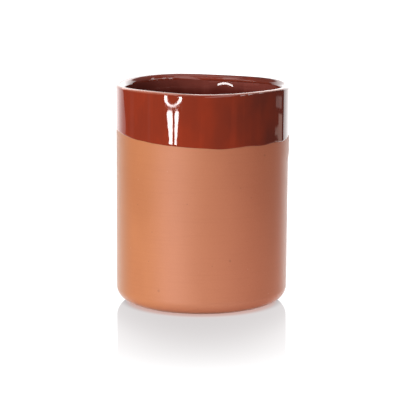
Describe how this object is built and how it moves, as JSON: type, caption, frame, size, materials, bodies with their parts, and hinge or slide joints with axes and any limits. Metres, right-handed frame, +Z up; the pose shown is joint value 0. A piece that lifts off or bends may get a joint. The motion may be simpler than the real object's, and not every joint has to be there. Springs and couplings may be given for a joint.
{
  "type": "handleless mug",
  "caption": "Straight-sided terracotta mug without a handle, bare matte clay outside, with a glossy red-brown glaze inside and dipped over the lip.",
  "frame": {"origin": "centre of the standing ring, on the surface that the mug stands on", "axes": "+Z up through the open mouth; -Y is the front that the picture shows, +X is to the viewer's right"},
  "size_m": [0.081, 0.081, 0.1029],
  "materials": {
    "terracotta": "bare fired red clay, matte, finely grained",
    "lining": "glossy red-brown transparent glaze, poured inside",
    "band": "glossy red-brown transparent glaze, dipped over the lip"
  },
  "bodies": {
    "root": {"clay_body": "terracotta", "lining_glaze": "lining", "band_glaze": "band"}
  },
  "joints": []
}
